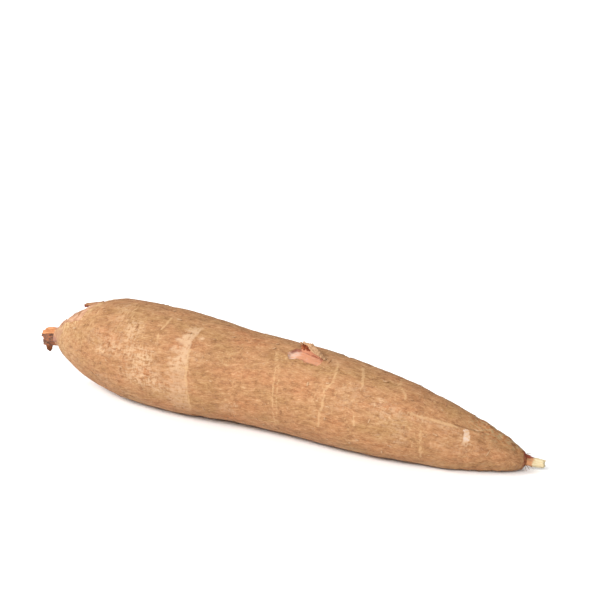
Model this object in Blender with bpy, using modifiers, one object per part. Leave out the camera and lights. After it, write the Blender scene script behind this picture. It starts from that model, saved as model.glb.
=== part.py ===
"""Cassava root lying on a table.

One grown piece: a tapered tuber, bent gently sideways, with a broken woody stub at its thick end and
a snapped core at its thin end. Bark is peeled off in two places, where a flap of it still stands.
+X runs from the stub to the tip, +Y is the far side and +Z is up. The origin is on the table, under
the middle of the root's box. Distances run from the stub's end, and angles from the top towards +Y.
"""

import math

import bmesh
import bpy
from mathutils import Euler, Vector

MM = 0.001

NAME = "cassava_root"
LENGTH = 338 * MM
ROUND_STEPS = 48
THICKEST_RADIUS = 32.1

# Down the root, in millimetres: distance, sideways bend, height of the centre, radius
STATIONS = (
    (0, 5.0, 27.4, 4.7),
    (3, 5.4, 27.8, 5.3),
    (9.5, 6.0, 28.7, 5.4),
    (11.5, 6.2, 29.1, 6.6),
    (14, 6.2, 29.6, 9.8),
    (20, 6.0, 30.4, 14.7),
    (30, 5.4, 31.7, 20.7),
    (42, 4.6, 32.2, 25.7),
    (56, 3.6, 32.4, 29.5),
    (74, 2.2, 31.6, 31.6),
    (97, 0.0, 31.3, 32.1),
    (122, -1.8, 30.4, 31.1),
    (149, -1.8, 29.1, 28.7),
    (187, -4.6, 28.0, 27.8),
    (221, -8.6, 26.7, 26.3),
    (254, -10.2, 23.5, 23.3),
    (269, -9.4, 21.0, 20.9),
    (285, -8.0, 17.8, 18.3),
    (299, -5.8, 15.1, 15.1),
    (313, -3.0, 11.3, 10.9),
    (322, 0.2, 8.0, 7.4),
    (326, 2.4, 6.8, 5.0),
    (328, 3.2, 6.5, 3.0),
    (338, 6.0, 5.4, 2.4),
)
PLACES = [row[0] for row in STATIONS]
BEND, HEIGHT, RADIUS = 1, 2, 3

# Rings of the loft: each stretch's end distance, and how many rings it has
RING_STRETCHES = ((3, 3), (14, 7), (56, 11), (180, 26), (210, 10), (313, 24), (328, 7), (338, 4))

# The stub is woody and ribbed, and both ends are snapped off raggedly: millimetres, and a share of
# the radius for the ribs; each wave is its height, how many go round, and its shift
STUB_LENGTH = 11.0
STUB_FADE = 2.0
STUB_UNEVEN = 0.10
STUB_RIBS = ((1.0, 4, 0.9), (0.6, 7, 0.5))
STUB_SNAP = 0.9
TIP_SNAP = 0.45
SNAP_WAVES = ((1.0, 3, 0.4), (0.5, 8, 0.0))
END_FACE_SHARE = 0.55

# Gentle swells of the whole tuber: height, waves round it, millimetres a radian along it, shift.
# They fade out underneath, between two values of the downward part of the direction outwards
SWELLS = ((0.40, 2, 41, 0.6), (0.28, 3, -29, 0.0), (0.22, 1, 11, 2.0), (0.16, 5, 23, 1.1))
UNDERSIDE_FADE = (0.86, 0.97)

# Shallow rings round the tuber: distance, depth, half width, lean towards the tip at the bottom
RINGS = (
    (51, 0.35, 2.6, 2.0),
    (88, 0.30, 2.8, -1.5),
    (123, 0.60, 3.0, 1.5),
    (152, 0.30, 2.8, -2.0),
    (181, 0.45, 2.8, 2.5),
    (214, 0.50, 2.8, 3.5),
    (232, 0.35, 2.6, 3.0),
    (253, 0.40, 2.6, 3.0),
    (271, 0.35, 2.4, 1.5),
    (296, 0.50, 2.4, -2.0),
    (309, 0.30, 2.2, 1.0),
)

# A ring is deeper and shallower by this share as it goes round
RING_UNEVEN = 0.3
RING_WAVES = 3

# Where bark is peeled off: distance, angle in degrees, half length, half width, depth
TORN_SHOULDER = (31, 30, 17.0, 20.0, 1.9)
PEELED_PATCH = (195, -14, 12.5, 6.4, 1.4)
PEEL_EDGE = 0.20

# Standing flaps of bark: first and last distance, first and last angle, height, lean, tallest place
PATCH_FLAP = (187.5, 206, -3.5, -8.6, 8.0, 1.8, 0.56)
SHOULDER_FLAP = (44, 45, -11, 4, -2.8, -12.0, 0.35)
FLAP_THICKNESS = 1.0 * MM
FLAP_SUNK = 1.6
FLAP_LOW_END = 0.45
FLAP_STEPS = 14
FLAP_ROWS = 5

# A strip of bark that hangs from the stub
STRIP_LENGTH = 9.5 * MM
STRIP_ROOT = 2.5 * MM
STRIP_TIP = 0.9 * MM
STRIP_AT = (2.8, 184)
STRIP_LEAN = math.radians(10)
STRIP_SIDES = 8

BARK_COLOUR = (0.52, 0.31, 0.15, 1)
BARK_ROUGHNESS = 0.75


def clear_scene():
    """Start from an empty scene."""
    for item in list(bpy.data.objects):
        bpy.data.objects.remove(item)


def slopes_of(values):
    """Slopes at the stations, chosen so that the curve never overshoots them."""
    steps = [(values[i + 1] - values[i]) / (PLACES[i + 1] - PLACES[i]) for i in range(len(PLACES) - 1)]
    inner = []
    for before, after in zip(steps, steps[1:]):
        inner.append(2 * before * after / (before + after) if before * after > 0 else 0.0)
    return [steps[0]] + inner + [steps[-1]]


COLUMNS = {k: [row[k] for row in STATIONS] for k in (BEND, HEIGHT, RADIUS)}
SLOPES = {k: slopes_of(COLUMNS[k]) for k in COLUMNS}


def station_value(distance, column):
    """A column of the stations on a smooth curve through them, in millimetres."""
    d = min(max(distance, PLACES[0]), PLACES[-1])
    i = min(max(k for k, place in enumerate(PLACES) if place <= d), len(PLACES) - 2)
    span = PLACES[i + 1] - PLACES[i]
    t = (d - PLACES[i]) / span
    low, high = COLUMNS[column][i], COLUMNS[column][i + 1]
    from_low, to_high = SLOPES[column][i] * span, SLOPES[column][i + 1] * span
    rise = (3 - 2 * t) * t * t
    return low + (high - low) * rise + from_low * t * (1 - t) ** 2 - to_high * t * t * (1 - t)


def soft_step(value, low, high):
    """0 below low, 1 above high, and a smooth rise between."""
    t = min(max((value - low) / (high - low), 0.0), 1.0)
    return t * t * (3 - 2 * t)


def angle_gap(angle, centre):
    """The angle from centre, in radians, between minus pi and pi."""
    return (angle - centre + math.pi) % (2 * math.pi) - math.pi


def swell_height(distance, angle):
    """Gentle lumps of the tuber, flattened underneath and at the two ends."""
    total = sum(h * math.sin(waves * angle + distance / run + shift) for h, waves, run, shift in SWELLS)
    under = soft_step(-math.cos(angle), *UNDERSIDE_FADE)
    return total * (1 - under) * station_value(distance, RADIUS) / THICKEST_RADIUS


def ring_share(angle, place):
    """How much of its depth a ring has at an angle."""
    return 1 - RING_UNEVEN + RING_UNEVEN * math.sin(RING_WAVES * angle + place)


def ring_depth(distance, angle):
    """Depth of the shallow rings."""
    total = 0.0
    for place, depth, half_width, lean in RINGS:
        off = (distance - place + lean * math.cos(angle)) / half_width
        total += depth * math.exp(-off * off) * ring_share(angle, place)
    return total


def peel_depth(distance, angle, peel):
    """Depth of one peeled place: a flat-bottomed oval with a short slope at its edge."""
    place, centre, half_length, half_width, depth = peel
    arc = angle_gap(angle, math.radians(centre)) * station_value(distance, RADIUS)
    reach = math.hypot((distance - place) / half_length, arc / half_width)
    return depth * (1 - soft_step(reach, 1 - PEEL_EDGE, 1 + PEEL_EDGE))


def wave_sum(waves, angle):
    """Waves round the root, added up."""
    return sum(height * math.sin(count * angle + shift) for height, count, shift in waves)


def stub_unevenness(distance, angle):
    """Ribs of the woody stub, in millimetres."""
    share = 1 - soft_step(distance, STUB_LENGTH - STUB_FADE, STUB_LENGTH + STUB_FADE)
    return share * STUB_UNEVEN * station_value(distance, RADIUS) * wave_sum(STUB_RIBS, angle)


def skin_radius(distance, angle):
    """From the spine to the bark, in millimetres."""
    relief = swell_height(distance, angle) + stub_unevenness(distance, angle)
    relief -= ring_depth(distance, angle)
    relief -= peel_depth(distance, angle, TORN_SHOULDER) + peel_depth(distance, angle, PEELED_PATCH)
    return station_value(distance, RADIUS) + relief


def spine_point(distance):
    """Centre of the root at a distance from the stub's end."""
    return Vector((
        distance * MM - LENGTH / 2,
        station_value(distance, BEND) * MM,
        station_value(distance, HEIGHT) * MM,
    ))


def spine_frame(distance):
    """Directions along the root, up across it and sideways across it."""
    ahead = (spine_point(distance + 1) - spine_point(distance - 1)).normalized()
    up = Vector((0, 0, 1)) - ahead * ahead.z
    up.normalize()
    return ahead, up, up.cross(ahead)


def out_direction(distance, angle):
    """Away from the spine at an angle from the top."""
    _, up, side = spine_frame(distance)
    return up * math.cos(angle) + side * math.sin(angle)


def snap_offset(distance, angle):
    """How far the ragged ends stand back or forward along the root."""
    if distance <= PLACES[0]:
        return STUB_SNAP * wave_sum(SNAP_WAVES, angle) * MM
    if distance >= PLACES[-1]:
        return TIP_SNAP * wave_sum(SNAP_WAVES, angle) * MM
    return 0.0


def skin_point(distance, angle, share=1.0):
    """A point of the bark, in metres, or nearer the spine on an end face."""
    ahead = spine_frame(distance)[0]
    out = out_direction(distance, angle) * skin_radius(distance, angle) * share * MM
    return spine_point(distance) + out + ahead * snap_offset(distance, angle) * share


def loft_rings():
    """Distance and share of the radius of each ring, closer together where the shape turns sharply."""
    rings = [(PLACES[0], END_FACE_SHARE)]
    start = PLACES[0]
    for end, count in RING_STRETCHES:
        rings += [(start + (end - start) * k / count, 1.0) for k in range(count)]
        start = end
    return rings + [(start, 1.0), (start, END_FACE_SHARE)]


def make_tuber(collection):
    """The whole root: a sphere's rings drawn out along the spine, and flat where it meets the table."""
    rings = loft_rings()
    bands = len(rings) + 1
    mesh = bpy.data.meshes.new(NAME)
    bm = bmesh.new()
    bmesh.ops.create_uvsphere(bm, u_segments=ROUND_STEPS, v_segments=bands, radius=1)
    for vert in bm.verts:
        band = round(math.acos(max(-1.0, min(1.0, vert.co.z))) / math.pi * bands)
        angle = math.atan2(vert.co.y, vert.co.x)
        if band in (0, bands):
            vert.co = spine_point(PLACES[0] if band == 0 else PLACES[-1])
        else:
            distance, share = rings[band - 1]
            vert.co = skin_point(distance, angle, share)
        vert.co.z = max(vert.co.z, 0)
    bm.to_mesh(mesh)
    bm.free()
    root = bpy.data.objects.new(NAME, mesh)
    collection.objects.link(root)
    return root


def flap_point(flap, along, up):
    """A point of a flap: along runs down the root and up away from it, both from 0 to 1."""
    first, last, first_angle, last_angle, height, lean, tallest = flap
    distance = first + (last - first) * along
    angle = math.radians(first_angle + (last_angle - first_angle) * along)
    out = out_direction(distance, angle)
    foot = skin_point(last, math.radians(last_angle)) - skin_point(first, math.radians(first_angle))
    sideways = foot.normalized().cross(out)
    if along < tallest:
        rise = math.sin(0.5 * math.pi * (FLAP_LOW_END + (1 - FLAP_LOW_END) * along / tallest))
    else:
        rise = math.cos(0.5 * math.pi * (along - tallest) / (1 - tallest))
    reach = (height * rise + FLAP_SUNK) * up - FLAP_SUNK
    tilt = lean * rise * up * up
    skin = spine_point(distance) + out * skin_radius(distance, angle) * MM
    return skin + out * reach * MM + sideways * tilt * MM


def make_flap(name, flap, collection):
    """A curled sheet of bark that stands on the root."""
    mesh = bpy.data.meshes.new(name)
    bm = bmesh.new()
    bmesh.ops.create_grid(bm, x_segments=FLAP_STEPS, y_segments=FLAP_ROWS, size=0.5)
    for vert in bm.verts:
        vert.co = flap_point(flap, vert.co.x + 0.5, vert.co.y + 0.5)
    bm.to_mesh(mesh)
    bm.free()
    piece = bpy.data.objects.new(name, mesh)
    collection.objects.link(piece)
    solid = piece.modifiers.new("Thickness", "SOLIDIFY")
    solid.thickness = FLAP_THICKNESS
    solid.offset = 0
    return piece


def make_strip(collection):
    """The strip of bark that hangs from the stub."""
    distance, angle = STRIP_AT
    mesh = bpy.data.meshes.new("hanging_strip")
    bm = bmesh.new()
    bmesh.ops.create_cone(
        bm, cap_ends=True, segments=STRIP_SIDES, radius1=STRIP_TIP, radius2=STRIP_ROOT, depth=STRIP_LENGTH
    )
    bm.to_mesh(mesh)
    bm.free()
    piece = bpy.data.objects.new("hanging_strip", mesh)
    piece.location = skin_point(distance, math.radians(angle))
    piece.rotation_euler = Euler((0, STRIP_LEAN, 0))
    collection.objects.link(piece)
    return piece


def join_piece(root, piece):
    """Fuse a piece into the root, and keep it only as a guide."""
    piece.hide_render = True
    piece.display_type = "WIRE"
    union = root.modifiers.new(piece.name, "BOOLEAN")
    union.operation = "UNION"
    union.solver = "EXACT"
    union.object = piece


def make_bark():
    """Dry tan bark."""
    material = bpy.data.materials.new("bark")
    material.use_nodes = True
    shader = material.node_tree.nodes["Principled BSDF"]
    shader.inputs["Base Color"].default_value = BARK_COLOUR
    shader.inputs["Roughness"].default_value = BARK_ROUGHNESS
    shader.inputs["Metallic"].default_value = 0
    return material


def main():
    """Build the root."""
    clear_scene()
    parts = bpy.data.collections.new(NAME)
    guides = bpy.data.collections.new("joined_pieces")
    bpy.context.scene.collection.children.link(parts)
    bpy.context.scene.collection.children.link(guides)
    root = make_tuber(parts)
    join_piece(root, make_flap("patch_flap", PATCH_FLAP, guides))
    join_piece(root, make_flap("shoulder_flap", SHOULDER_FLAP, guides))
    join_piece(root, make_strip(guides))
    root.data.materials.append(make_bark())
    root.data.shade_smooth()


main()
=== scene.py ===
import math
import random

import bpy
import numpy as np
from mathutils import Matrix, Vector, noise


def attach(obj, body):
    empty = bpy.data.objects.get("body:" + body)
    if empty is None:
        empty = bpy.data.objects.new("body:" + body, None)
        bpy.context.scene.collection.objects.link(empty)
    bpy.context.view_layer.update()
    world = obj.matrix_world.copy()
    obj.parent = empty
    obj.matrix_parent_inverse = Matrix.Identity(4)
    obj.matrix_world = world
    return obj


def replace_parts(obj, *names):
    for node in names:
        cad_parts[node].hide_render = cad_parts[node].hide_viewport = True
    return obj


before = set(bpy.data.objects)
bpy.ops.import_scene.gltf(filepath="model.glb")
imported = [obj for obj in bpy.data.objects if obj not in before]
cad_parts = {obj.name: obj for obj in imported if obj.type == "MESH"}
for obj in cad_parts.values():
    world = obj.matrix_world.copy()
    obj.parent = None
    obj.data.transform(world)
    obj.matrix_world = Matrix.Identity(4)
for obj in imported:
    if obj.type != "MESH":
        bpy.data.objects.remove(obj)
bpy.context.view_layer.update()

MM = 0.001
NODE = "cassava_root"
BODY = "root"

# The root's run, as in the solid, in millimetres: distance, sideways bend, height of the centre, radius
STATIONS = np.array((
    (0, 5.0, 27.4, 4.7),
    (3, 5.4, 27.8, 5.3),
    (9.5, 6.0, 28.7, 5.4),
    (11.5, 6.2, 29.1, 6.6),
    (14, 6.2, 29.6, 9.8),
    (20, 6.0, 30.4, 14.7),
    (30, 5.4, 31.7, 20.7),
    (42, 4.6, 32.2, 25.7),
    (56, 3.6, 32.4, 29.5),
    (74, 2.2, 31.6, 31.6),
    (97, 0.0, 31.3, 32.1),
    (122, -1.8, 30.4, 31.1),
    (149, -1.8, 29.1, 28.7),
    (187, -4.6, 28.0, 27.8),
    (221, -8.6, 26.7, 26.3),
    (254, -10.2, 23.5, 23.3),
    (269, -9.4, 21.0, 20.9),
    (285, -8.0, 17.8, 18.3),
    (299, -5.8, 15.1, 15.1),
    (313, -3.0, 11.3, 10.9),
    (322, 0.2, 8.0, 7.4),
    (326, 2.4, 6.8, 5.0),
    (328, 3.2, 6.5, 3.0),
    (338, 6.0, 5.4, 2.4),
))
LENGTH = STATIONS[-1, 0]
THICKEST_RADIUS = STATIONS[:, 3].max()

# Slow swells of the tuber: height in millimetres, waves round it, millimetres a radian along it, shift
SWELLS = ((0.4, 2, 41, 0.6), (0.28, 3, -29, 0), (0.22, 1, 11, 2), (0.16, 5, 23, 1.1))
UNDERSIDE_FADE = 0.86

# Shallow rings: distance, depth, half width and lean in millimetres
RINGS = (
    (51, 0.35, 2.6, 2),
    (88, 0.3, 2.8, -1.5),
    (123, 0.6, 3, 1.5),
    (152, 0.3, 2.8, -2),
    (181, 0.45, 2.8, 2.5),
    (214, 0.5, 2.8, 3.5),
    (232, 0.35, 2.6, 3),
    (253, 0.4, 2.6, 3),
    (271, 0.35, 2.4, 1.5),
    (296, 0.5, 2.4, -2),
    (309, 0.3, 2.2, 1),
)

# The torn shoulder's hollow: distance, angle in degrees, half length, half width and depth in millimetres
TORN_SHOULDER = (31, 30, 17, 20, 1.9)

# A low knob beside it: distance, angle, half length in millimetres, half width in degrees, height
KNOB = (37, 8, 6, 28, 1)

# Standing flaps of bark: their two ends' distances, and angles in degrees, then the height and the lean in
# millimetres, and how far along them they are tallest
PATCH_FLAP = (187.5, 206, -3.5, -8.6, 8, 1.8, 0.56)
SHOULDER_FLAP = (44, 45, -11, 4, -2.8, -12, 0.35)
# How tall their first end is as a share, how far up they bend, and how deep their foot is sunk in millimetres
FLAP_LOW_END = 0.45
FLAP_BEND = 0.6
FLAP_SUNK = 1.6

# The peeled patch's edge: distance and angle in degrees
PATCH_EDGE = (
    (181.8, -17), (182.9, -11), (184.5, -5), (188.4, -3), (194, -4.5), (198, -6), (202, -7.5),
    (205.1, -14), (205.1, -21), (203.8, -25), (200.3, -23.5), (195.5, -24.5), (192.5, -22), (188.5, -22.5),
    (184.7, -27),
)
PATCH_DEPTH = 1.3
PATCH_MIDDLE = 194

# The pale band's two edges: angle in degrees, distance
BAND_LEFT = (
    (-128, 113), (-104, 111.4), (-88, 111.8), (-70, 113.3), (-52, 113.4), (-39, 114), (-26, 116.4), (-15, 118),
)
BAND_RIGHT = (
    (-128, 123.1), (-112, 124.2), (-95, 123.7), (-71, 122.8), (-55, 122.1), (-42, 120.8), (-26, 121.6), (-15, 123),
)

# Pale lines: half width in millimetres, strength, then distances and angles in degrees along each
LINES = (
    (1, 0.5, (173.5, -17), (178.5, -36), (181.7, -58), (183.6, -80), (184.1, -97), (184, -130)),
    (0.9, 0.35, (174.8, -16), (180.5, -38), (184.2, -57), (186, -78), (186.8, -95), (186.5, -125)),
    (1.1, 0.8, (212.5, -5), (214.2, -10), (216.5, -25), (217.6, -40)),
    (1.1, 0.8, (217.6, -40), (215.3, -52), (216.3, -65), (215.8, -76), (215.2, -90), (214.6, -102)),
    (0.9, 0.3, (221, -47), (222, -60), (221.5, -78)),
    (1.2, 0.9, (227, 3), (230.5, -14), (233.5, -31)),
    (1, 0.8, (235, -72), (235.9, -87)),
    (1, 0.7, (249, 14), (251, -1), (252.9, -11), (256, -18), (258, -30)),
    (1, 0.8, (271.1, -68), (272.4, -91), (273.7, -119)),
    (0.8, 0.8, (267.6, -86), (268.4, -101)),
    (1.6, 0.5, (262, -49), (270.9, -46.4), (278.9, -43)),
    (1.2, 1, (276, -45), (282, -43), (288.5, -41)),
    (1, 0.6, (69.7, -49), (71.6, -26), (70.4, -2)),
    (1.1, 0.9, (100.6, -34), (101.5, -24), (101.3, -15)),
    (1, 0.5, (100.1, -42), (103, -58)),
    (0.9, 0.9, (121.8, -48), (122, -60), (122.7, -78), (124, -95), (124.5, -112), (124, -126)),
    (0.9, 0.7, (294.5, -17), (297, -22), (301, -27)),
    (1, 0.5, (140, -50), (144, -54), (149, -56)),
    (0.9, 0.6, (73.5, -3), (76.4, -23), (77.6, -35)),
    (0.8, 0.5, (74.3, -13), (75.4, -36)),
    (0.9, 0.5, (68.9, -22), (70.3, -45)),
    (1, 0.4, (50.4, -23), (49.4, -42), (46.2, -62), (44, -83)),
)

# Scars where the pale layer shows, drawn in the same way, and dark cracks
SCARS = (
    (2.2, 1, (293.8, -45), (294.6, -54), (294.9, -60)),
)
CRACKS = (
    (0.9, 0.8, (287, -38.5), (293.1, -36.5), (299.5, -33), (303.5, -29)),
    (0.8, 0.6, (300, -20), (303.5, -30.6)),
    (0.7, 0.5, (181, -15), (184, -6), (187, -3)),
    (0.6, 0.5, (88, -50), (90.5, -58)),
)

# Pale spots: distance, angle in degrees, half length, half width, strength
SPOTS = (
    (82.7, -43, 6.5, 8, 0.8),
    (253, -60, 10, 7, 0.5),
    (93.9, -68, 8, 6.5, 0.85),
    (92, -92, 9, 8, 0.55),
    (78, -64, 12, 7, 0.5),
    (62.8, -74, 4, 2.2, 0.8),
    (102, -82, 8, 9, 0.45),
    (103, -100, 8, 9, 0.4),
    (68, -30, 6, 12, 0.35),
    (157.2, -102, 1.6, 1.6, 1.2),
    (125.9, -32, 1.6, 1.4, 1.00),
    (247, -43, 2.5, 1.2, 0.9),
    (245, -52, 2.5, 1.2, 0.8),
    (295, -66, 2.4, 2.4, 0.7),
    (268, -50, 9, 2.4, 0.5),
    (283, -80, 6, 6, 0.25),
    (142, 130, 22, 14, 0.55),
    (232, 165, 20, 10, 0.5),
    (95, 175, 26, 16, 0.45),
    (60, 100, 14, 12, 0.5),
    (265, 75, 14, 8, 0.55),
)

# The torn shoulder's edge, where the bark is gone but the hollow isn't deep yet
SHOULDER_EDGE = (
    (9, 0), (11, -26), (15, -38), (20, -42), (26, -42), (31, -41), (37, -38), (39, -30), (41, -19), (43, -8),
    (47, 8), (49, 30), (46, 55), (38, 78), (30, 86), (20, 84), (13, 66), (9, 40),
)

# The tuber's skin: where it starts and ends, and its points round
TUBER_START, TUBER_END = 8.5, 328
AROUND = 240

# How far from the floor the skin starts to flatten on it, and how far it stays, in millimetres
TOUCH, CLEARANCE = 0.35, 0.02

FLAKES = 300
FLAKE_THICKNESS = 0.1
FRINGE_THICKNESS = 0.35
STUB_END = 12.5
CORE_START = 325

# Tongues of bark round the core: angle in degrees, length, half width, tint
FRINGE = (
    (-22, 6, 1.2, 0), (6, 4.6, 1, 0.1), (38, 3, 1.1, 0.25), (72, 2, 1.2, 0.5), (104, 2.6, 1, 0.35),
    (140, 1.6, 1.2, 0.55), (-155, 1.4, 1.2, 0.5), (-120, 2, 1, 0.3), (-92, 1.4, 1.2, 0.2), (-52, 2.2, 1.1, 0.12),
)

# The strip that hangs from the stub, in three strands: place, course, radii, tint, sides
STRIPS = (
    (
        (-0.9, 0, 2.4), ((0, 0, 0), (0.1, 0, -2.2), (0.2, -0.1, -4), (0.3, -0.2, -5.5)),
        (2.3, 2.2, 2, 1.9, 1.7), 0.2, 12,
    ),
    ((1, -0.6, 2), ((0, 0, 0), (0.1, 0, -2.5), (0.1, -0.2, -4.6)), (1.2, 1.1, 0.9, 0.6), 0.3, 8),
    ((-2.2, 0.4, 2), ((0, 0, 0), (0, 0, -2), (0.1, 0.1, -3.6)), (1, 0.9, 0.7, 0.5), 0.34, 8),
)

# Thin fibres and root hairs: distance, angle in degrees, and the run to the free end
HAIRS = (
    (322.5, -100, (-1, -2.4, -2.6)), (326.5, -112, (2.6, -1.6, -3)), (327.5, -125, (3.6, -1.2, -2.6)),
    (327.5, -60, (4.8, -1.6, 0.8)), (329, -130, (4.6, -0.4, -2.2)), (327, 60, (3.8, 2.2, 0.6)),
    (4, -100, (-1.6, -1.8, -1.8)), (8, 178, (0.6, -0.6, -3)), (1, 30, (-3.2, 0.8, 1.4)),
)

CAMERA_PLACE = (0.4435, -0.927, 0.4765)
CAMERA_AZIMUTH = 24.8
CAMERA_ELEVATION = 21
CAMERA_LENS = 110

# Broad even lights: degrees to the camera's left, degrees above the floor, strength, spread in degrees
SUNS = (
    ("front_light", 0, 38, 1.25, 20),
    ("front_left_light", 35, 38, 1.65, 20),
    ("left_light", 70, 38, 1.65, 20),
    ("far_left_light", 110, 38, 0.6, 20),
    ("back_light", 180, 62, 0.9, 30),
)
TENT_STRENGTH = 0.28

# How much brighter than its colour a surface looks in this scene's light
BRIGHTNESS = 1.74

# The grain winds slowly round the root: radians a millimetre
WINDING = 0.0045


def curve_through(column):
    """A column of the stations as a smooth function of distance that never overshoots."""
    places, values = STATIONS[:, 0], STATIONS[:, column]
    steps = np.diff(values) / np.diff(places)
    before, after = steps[:-1], steps[1:]
    same_way = before * after > 0
    inner = np.where(same_way, 2 * before * after / np.where(same_way, before + after, 1), 0)
    slopes = np.concatenate([steps[:1], inner, steps[-1:]])

    def value(distance):
        d = np.clip(distance, places[0], places[-1])
        i = np.clip(np.searchsorted(places, d, side="right") - 1, 0, len(places) - 2)
        span = places[i + 1] - places[i]
        t = (d - places[i]) / span
        rise = (3 - 2 * t) * t * t
        bend = slopes[i] * t * (1 - t) ** 2 - slopes[i + 1] * t * t * (1 - t)
        return values[i] + (values[i + 1] - values[i]) * rise + bend * span

    return value


bend_at, height_at, radius_at = (curve_through(column) for column in (1, 2, 3))


def spine(distance):
    """The centre line, in millimetres."""
    distance = np.asarray(distance, float)
    return np.stack([distance - LENGTH / 2, bend_at(distance), height_at(distance)], -1)


def unit(vectors):
    """Vectors of length one."""
    return vectors / np.linalg.norm(vectors, axis=-1, keepdims=True)


def directions(distance, angle):
    """Along the root, away from the spine, and round it, at points of the skin."""
    ahead = unit(spine(distance + 1.0) - spine(distance - 1.0))
    up = unit(np.array([0.0, 0.0, 1.0]) - ahead * ahead[..., 2:])
    side = np.cross(up, ahead)
    cosine, sine = np.cos(angle)[..., None], np.sin(angle)[..., None]
    return ahead, up * cosine + side * sine, side * cosine - up * sine


def soft_step(value, low, high):
    """0 below low, 1 above high, and a smooth rise between."""
    t = np.clip((value - low) / (high - low), 0, 1)
    return t * t * (3 - 2 * t)


def angle_gap(angle, centre=0.0):
    """The angle from a centre in degrees, between minus pi and pi."""
    return (angle - math.radians(centre) + math.pi) % (2 * math.pi) - math.pi


def noise_at(points, lumps, seed=0.0):
    """Smooth noise of about minus 0.7 to 0.7 whose lumps have the given size in millimetres."""
    cells = points / np.asarray(lumps, float) + seed
    flat = cells.reshape(-1, 3).tolist()
    return np.array([noise.noise(cell) for cell in flat]).reshape(points.shape[:-1])


def grain_of(distance, angle, radius=None):
    """Millimetres along, up and across the root as if it were straight, for grain that follows it."""
    radius = radius_at(distance) if radius is None else radius
    turn = angle - WINDING * distance
    return np.stack(np.broadcast_arrays(distance, radius * np.cos(turn), radius * np.sin(turn)), -1)


def main_radius(distance, angle):
    """From the spine to the bark, as in the solid, without its peeled places."""
    swell = sum(h * np.sin(waves * angle + distance / run + shift) for h, waves, run, shift in SWELLS)
    under = soft_step(-np.cos(angle), UNDERSIDE_FADE, 0.97)
    total = radius_at(distance) * (1 + swell * (1 - under) / THICKEST_RADIUS)
    for place, depth, half_width, lean in RINGS:
        off = (distance - place + lean * np.cos(angle)) / half_width
        total = total - depth * np.exp(-off * off) * (0.7 + 0.3 * np.sin(3 * angle + place))
    return total


def reach_from(distance, angle, place, centre, half_length, half_width):
    """How far a point is from a place on the skin, as a share of the half sizes."""
    arc = angle_gap(angle, centre) * radius_at(distance)
    return np.hypot((distance - place) / half_length, arc / half_width)


def inside_shoulder(distance, angle):
    """How far inside the torn shoulder's hollow a point is, in millimetres."""
    place, centre, half_length, half_width, _ = TORN_SHOULDER
    ragged = noise_at(grain_of(distance, angle), (5, 5, 5), 3.0) * 2.2
    return (1 - reach_from(distance, angle, place, centre, half_length, half_width)) * half_length + ragged


def away_from_line(distance, arc, points):
    """How far points of the unrolled skin are from a broken line, in millimetres."""
    here = np.stack([distance, arc], -1)
    nearest = np.full(distance.shape, 1e9)
    for start, end in zip(points, points[1:]):
        way = end - start
        share = np.clip(((here - start) @ way) / (way @ way), 0, 1)
        nearest = np.minimum(nearest, np.linalg.norm(here - start - share[..., None] * way, axis=-1))
    return nearest


def inside_edge(distance, angle, corners, middle, centre):
    """How far inside a closed edge on the unrolled skin a point is, in millimetres."""
    radius = float(radius_at(middle))
    edge = np.array([(d, math.radians(a - centre) * radius) for d, a in (*corners, corners[0])])
    arc = angle_gap(angle, centre) * radius
    crossings = np.zeros(distance.shape, int)
    for start, end in zip(edge, edge[1:]):
        way = end - start
        spans = (start[1] > arc) != (end[1] > arc)
        climb = way[1] if abs(way[1]) > 1e-9 else 1e-9
        crossings += spans & (distance < start[0] + way[0] * (arc - start[1]) / climb)
    return np.where(crossings % 2 == 1, 1, -1) * away_from_line(distance, arc, edge)


def inside_patch(distance, angle):
    """How far inside the peeled patch's edge a point is, in millimetres."""
    ragged = noise_at(grain_of(distance, angle), (2.2, 2.2, 2.2), 8.0) * 0.7
    return inside_edge(distance, angle, PATCH_EDGE, PATCH_MIDDLE, -14) + ragged


def inside_torn(distance, angle):
    """How far inside the torn shoulder's edge a point is, in millimetres."""
    grain = grain_of(distance, angle)
    ragged = noise_at(grain, (4, 3, 3), 4.0) * 2.0 + noise_at(grain, (1.6, 1.2, 1.2), 4.5) * 0.7
    return inside_edge(distance, angle, SHOULDER_EDGE, 30, 25) + ragged


def drawn_lines(distance, angle, lines):
    """Lines on the bark: 1 on a line's middle, 0 at its edge and below 0 outside."""
    total = np.full(distance.shape, -1.0)
    wobble = noise_at(grain_of(distance, angle), (4, 3, 3), 17.0) * 0.6
    for half_width, strength, *points in lines:
        middle = sum(a for _, a in points) / len(points)
        radius = float(radius_at(sum(d for d, _ in points) / len(points)))
        line = np.array([(d, math.radians(a - middle) * radius) for d, a in points])
        away = away_from_line(distance + wobble, angle_gap(angle, middle) * radius, line)
        total = np.maximum(total, np.where(away < 4, strength * (1 - away / (0.85 * half_width)), -1))
    return np.clip(total, -1, 1)


def ring_lines(distance, angle):
    """The pale lines of the rings on the root's far side."""
    total = np.full(distance.shape, -1.0)
    wobble = noise_at(grain_of(distance, angle), (9, 7, 7), 19.0) * 2.4
    for number, (place, _, _, lean) in enumerate(RINGS):
        away = np.abs(distance - place + lean * np.cos(angle) + wobble)
        shown = soft_step(np.sin(2 * angle + number * 2.1) + 0.8 * np.sin(angle + number), -0.5, 0.5)
        hidden = soft_step(np.abs(angle_gap(angle, -62)), 1.1, 1.5)
        total = np.maximum(total, np.where(away < 4, shown * hidden * (1 - away / 0.8), -1))
    return np.clip(total, -1, 1)


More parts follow.
